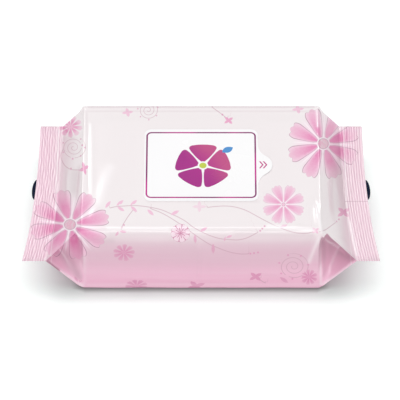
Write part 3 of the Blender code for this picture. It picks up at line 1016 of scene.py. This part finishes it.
def labelMaterial():
    inks = {
        "sheet": ((0.93, 0.925, 0.935), (0.955, 0.95, 0.955)),
        "frame": ((0.22, 0.003, 0.13), (0.54, 0.008, 0.26)),
        "petal": ((0.36, 0.0, 0.22), (0.52, 0.06, 0.22)),
        "petalRoot": (0.44, 0.001, 0.25),
        "heartRing": (0.94, 0.93, 0.94),
        "heart": (0.52, 0.60, 0.06),
        "leaf": (0.06, 0.27, 0.62),
        "chevron": (0.52, 0.03, 0.22),
    }
    n = Nodes(bpy.data.materials.new("label_film"))
    place = n.split(n.place())
    x, y = place[0], n.minus(place[1], labelSet["middleY"])
    # distance from the printed frame, with its round corners
    corner = labelSet["corner"]
    overX = n.larger(n.minus(n.size(x), labelSet["halfX"] - corner), 0.0)
    overY = n.larger(n.minus(n.size(y), labelSet["halfY"] - corner), 0.0)
    cornerFar = n.math("SQRT", n.plus(n.times(overX, overX), n.times(overY, overY)))
    flatX = n.larger(n.minus(n.size(x), labelSet["halfX"]), -1.0)
    flat = n.larger(flatX, n.minus(n.size(y), labelSet["halfY"]))
    isCorner = n.math("GREATER_THAN", n.times(overX, overY), 0.0)
    fromFrame = n.times(isCorner, n.minus(cornerFar, corner))
    fromFrame = n.plus(fromFrame, n.times(n.minus(1.0, isCorner), flat))
    line = labelSet["line"]
    frameLine = n.ramp(n.size(fromFrame), line * 1.15, line * 0.85)
    mottle = n.noise(38, 2)
    frameInk = n.blend(n.ramp(mottle, 0.4, 0.6), *inks["frame"])
    colour = n.blend(n.ramp(n.noise(14, 2), 0.3, 0.7), *inks["sheet"])
    colour = n.blend(frameLine, colour, frameInk)
    # a plain five-petal blossom in the middle
    bx = n.over(n.minus(x, 0.0012), labelSet["blossom"])
    by = n.over(n.plus(y, 0.0006), labelSet["blossom"])
    tiltX = n.plus(n.times(bx, 0.95), n.times(by, 0.31))
    tiltY = n.minus(n.times(by, 0.95), n.times(bx, 0.31))
    half, pointed, across, along, r, turn = petalShape(n, tiltX, tiltY, 5.0, 1.95, 0.0)
    fade = n.ramp(n.plus(bx, n.times(by, 0.7)), -0.5, 0.9)
    ink = n.blend(fade, *inks["petal"])
    ink = n.blend(n.ramp(along, 0.9, 0.3, 0.0, 0.3), ink, inks["petalRoot"])
    colour = n.blend(n.ramp(n.minus(half, across), 0.0, 0.03), colour, ink)
    colour = n.blend(n.ramp(r, 0.21, 0.18), colour, inks["heartRing"])
    colour = n.blend(n.ramp(r, 0.15, 0.12), colour, inks["heart"])
    # a small blue leaf beside it
    lx = n.over(n.minus(x, labelSet["leafX"]), 0.0042)
    ly = n.over(n.minus(y, labelSet["leafY"]), 0.0024)
    leafX = n.plus(n.times(lx, 0.82), n.times(ly, 0.33))
    leafY = n.minus(n.times(ly, 0.82), n.times(lx, 0.85))
    leaf = n.minus(n.minus(1.0, n.times(leafX, leafX)), n.size(leafY))
    colour = n.blend(n.ramp(leaf, 0.0, 0.1), colour, inks["leaf"])
    # two chevrons on the pull tab
    tx, ty = n.minus(x, labelSet["tabX"]), n.size(y)
    bent = n.over(n.plus(n.times(ty, 0.7), tx), labelSet["chevron"])
    chevron = n.times(n.ramp(n.offWhole(bent), 0.24, 0.19), n.ramp(ty, 0.0030, 0.0028))
    chevron = n.times(chevron, n.math("LESS_THAN", n.size(n.minus(bent, 0.5)), 0.98))
    colour = n.blend(chevron, colour, inks["chevron"])
    n.bump(n.noise(160, 3), 0.05, 0.0004)
    rough = n.ramp(mottle, 0.2, 0.8, 0.2, 0.3)
    return n.finish({"Base Color": colour, "Roughness": rough, "Coat Weight": 0.3})


# the label lies a little nearer the front edge, with a soft rim
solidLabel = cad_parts["reseal_label"]
label = bpy.data.objects.new("label_sheet", solidLabel.data.copy())
label.matrix_world = solidLabel.matrix_world.copy()
label.location.y -= labelSet["forward"]
scene.collection.objects.link(label)
labelRim = label.modifiers.new("rim", "BEVEL")
labelRim.width = labelSet["rim"]
labelRim.segments = 2
labelRim.limit_method = "ANGLE"
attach(label, "root")
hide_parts("reseal_label")
label.data.materials.clear()
label.data.materials.append(labelMaterial())
print("label printed")


# the dark printed ends of the back fin, in mm, low and high from the seal's underside
tipSet = {
    "reach": 2.5,
    "root": 1.0,
    "half": 8.3,
    "middle": 3.0,
    "low": 0.55,
    "high": 0.05,
    "rim": 0.15,
    "steps": 48,
}


def finTip(side):
    steps, middle = tipSet["steps"], tipSet["middle"]
    at = sealEnd + splay(middle)
    slope = (splay(middle + 1) - splay(middle - 1)) / 2
    rim = []
    for k in range(steps):
        a = 2 * math.pi * k / steps
        x, y = math.cos(a), tipSet["half"] * math.sin(a)
        x *= tipSet["reach"] if x > 0 else tipSet["root"]
        rim.append((side * (at + x + slope * y), middle + y))
    levels = sealBase - tipSet["low"], sealBase - tipSet["high"]
    verts = [(x * mm, y * mm, z * mm) for z in levels for x, y in rim]
    faces = [tuple(range(steps)), tuple(range(2 * steps - 1, steps - 1, -1))]
    faces += [(k + steps, (k + 1) % steps + steps, (k + 1) % steps, k) for k in range(steps)]
    data = bpy.data.meshes.new("fin_tip")
    data.from_pydata(verts, [], faces)
    if side > 0:
        data.flip_normals()
    tip = bpy.data.objects.new("fin_tip_left" if side < 0 else "fin_tip_right", data)
    scene.collection.objects.link(tip)
    bevel = tip.modifiers.new("round", "BEVEL")
    bevel.width = tipSet["rim"] * mm
    bevel.segments = 3
    bevel.limit_method = "ANGLE"
    bevel.angle_limit = math.radians(60)
    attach(tip, "root")
    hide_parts("wrapper")
    return tip


inkNodes = Nodes(bpy.data.materials.new("registration_ink"))
inkShade = inkNodes.blend(inkNodes.noise(700, 3), (0.001, 0.003, 0.012), (0.003, 0.010, 0.040))
inkNodes.bump(inkNodes.noise(500, 3), 0.1, 0.0003)
inkNodes.finish({"Base Color": inkShade, "Roughness": 0.4, "Specular IOR Level": 0.08})
for side in (-1, 1):
    finTip(side).data.materials.append(inkNodes.owner)
print("fin tips made")

# studio floor: a glow makes it white for the camera away from the pack and fades towards it as a
# painted shadow falloff, and a painted contact shadow makes it dark where the pack touches it
floorSet = {
    "packHalfX": 0.076,
    "packHalfY": 0.052,
    "longer": 3.5,
    "glowFrom": 0.0155,
    "glow": 0.42,
    "touchFrom": 0.0046,
    "touch": 0.54,
    "paintedShadowColour": (0.02, 0.02, 0.02),
    "seen": ((0.70, 0.775, 0.745), (0.71, 0.785, 0.755)),
    "bounced": (0.80, 0.77, 0.78),
}
floorData = bpy.data.meshes.new("floor")
floorData.from_pydata([(-3, -3, 0), (3, -3, 0), (3, 3, 0), (-3, 3, 0)], [], [(0, 1, 2, 3)])
floor = bpy.data.objects.new("floor", floorData)
scene.collection.objects.link(floor)


def floorMaterial():
    n = Nodes(bpy.data.materials.new("studio_floor"))
    place = n.split(n.place())
    x = n.minus(n.size(place[0]), floorSet["packHalfX"])
    y = n.minus(n.size(place[1]), floorSet["packHalfY"])
    x = n.over(n.larger(x, 0.0), floorSet["longer"])
    y = n.larger(y, 0.0)
    touch = n.plus(n.times(x, 1.6), y)
    far = n.math("SQRT", n.plus(n.times(x, x), n.times(y, y)))
    ray = n.tree.nodes.new("ShaderNodeLightPath").outputs
    seen = n.larger(ray["Is Camera Ray"], ray["Is Glossy Ray"])
    # the glow fades out near the pack: a painted shadow falloff
    glow = n.times(n.ramp(far, 0.0, floorSet["glowFrom"], 0.0, floorSet["glow"]), seen)
    colour = n.blend(n.noise(3, 2), *floorSet["seen"])
    # painted contact shadow along the pack's base
    paintedContactShadow = n.ramp(touch, floorSet["touchFrom"], 0.0, 0.0, floorSet["touch"])
    colour = n.blend(paintedContactShadow, colour, floorSet["paintedShadowColour"])
    colour = n.blend(ray["Is Camera Ray"], floorSet["bounced"], colour)
    surface = {"Base Color": colour, "Roughness": 0.9, "Specular IOR Level": 0.1}
    return n.finish({**surface, "Emission Color": (1, 1, 1), "Emission Strength": glow})


floorData.materials.append(floorMaterial())
print("floor laid")

# the studio's walls are brighter behind and in front than at the sides
sky = Nodes(bpy.data.worlds.new("studio"), "Background")
skySide = sky.size(sky.split(sky.place("Generated"))[0])
skyLight = sky.ramp(skySide, 0.4, 0.92, 0.87, 0.26)
scene.world = sky.finish({"Color": (1, 1, 1), "Strength": skyLight})
scene.view_settings.view_transform = "Standard"


def softBox(name, place, size, energy, aim=(0, 0, 0.04), tone=(1, 1, 1)):
    data = bpy.data.lights.new(name, "AREA")
    data.shape = "RECTANGLE"
    data.size, data.size_y = size
    data.energy = energy
    data.color = tone
    lamp = bpy.data.objects.new(name, data)
    lamp.location = place
    lamp.rotation_euler = (Vector(aim) - Vector(place)).to_track_quat("-Z", "Y").to_euler()
    scene.collection.objects.link(lamp)


softBox("top_box", (-0.05, -0.25, 1.3), (0.9, 0.3), 2.4)
softBox("left_back_strip", (-0.5, 0.86, 1.05), (0.1, 0.4), 2.2)
softBox("right_back_strip", (0.5, 0.86, 1.05), (0.1, 0.3), 1.4)
softBox("front_fill", (0.0, -1.6, 0.45), (1.6, 0.5), 6.0)
print("lit")
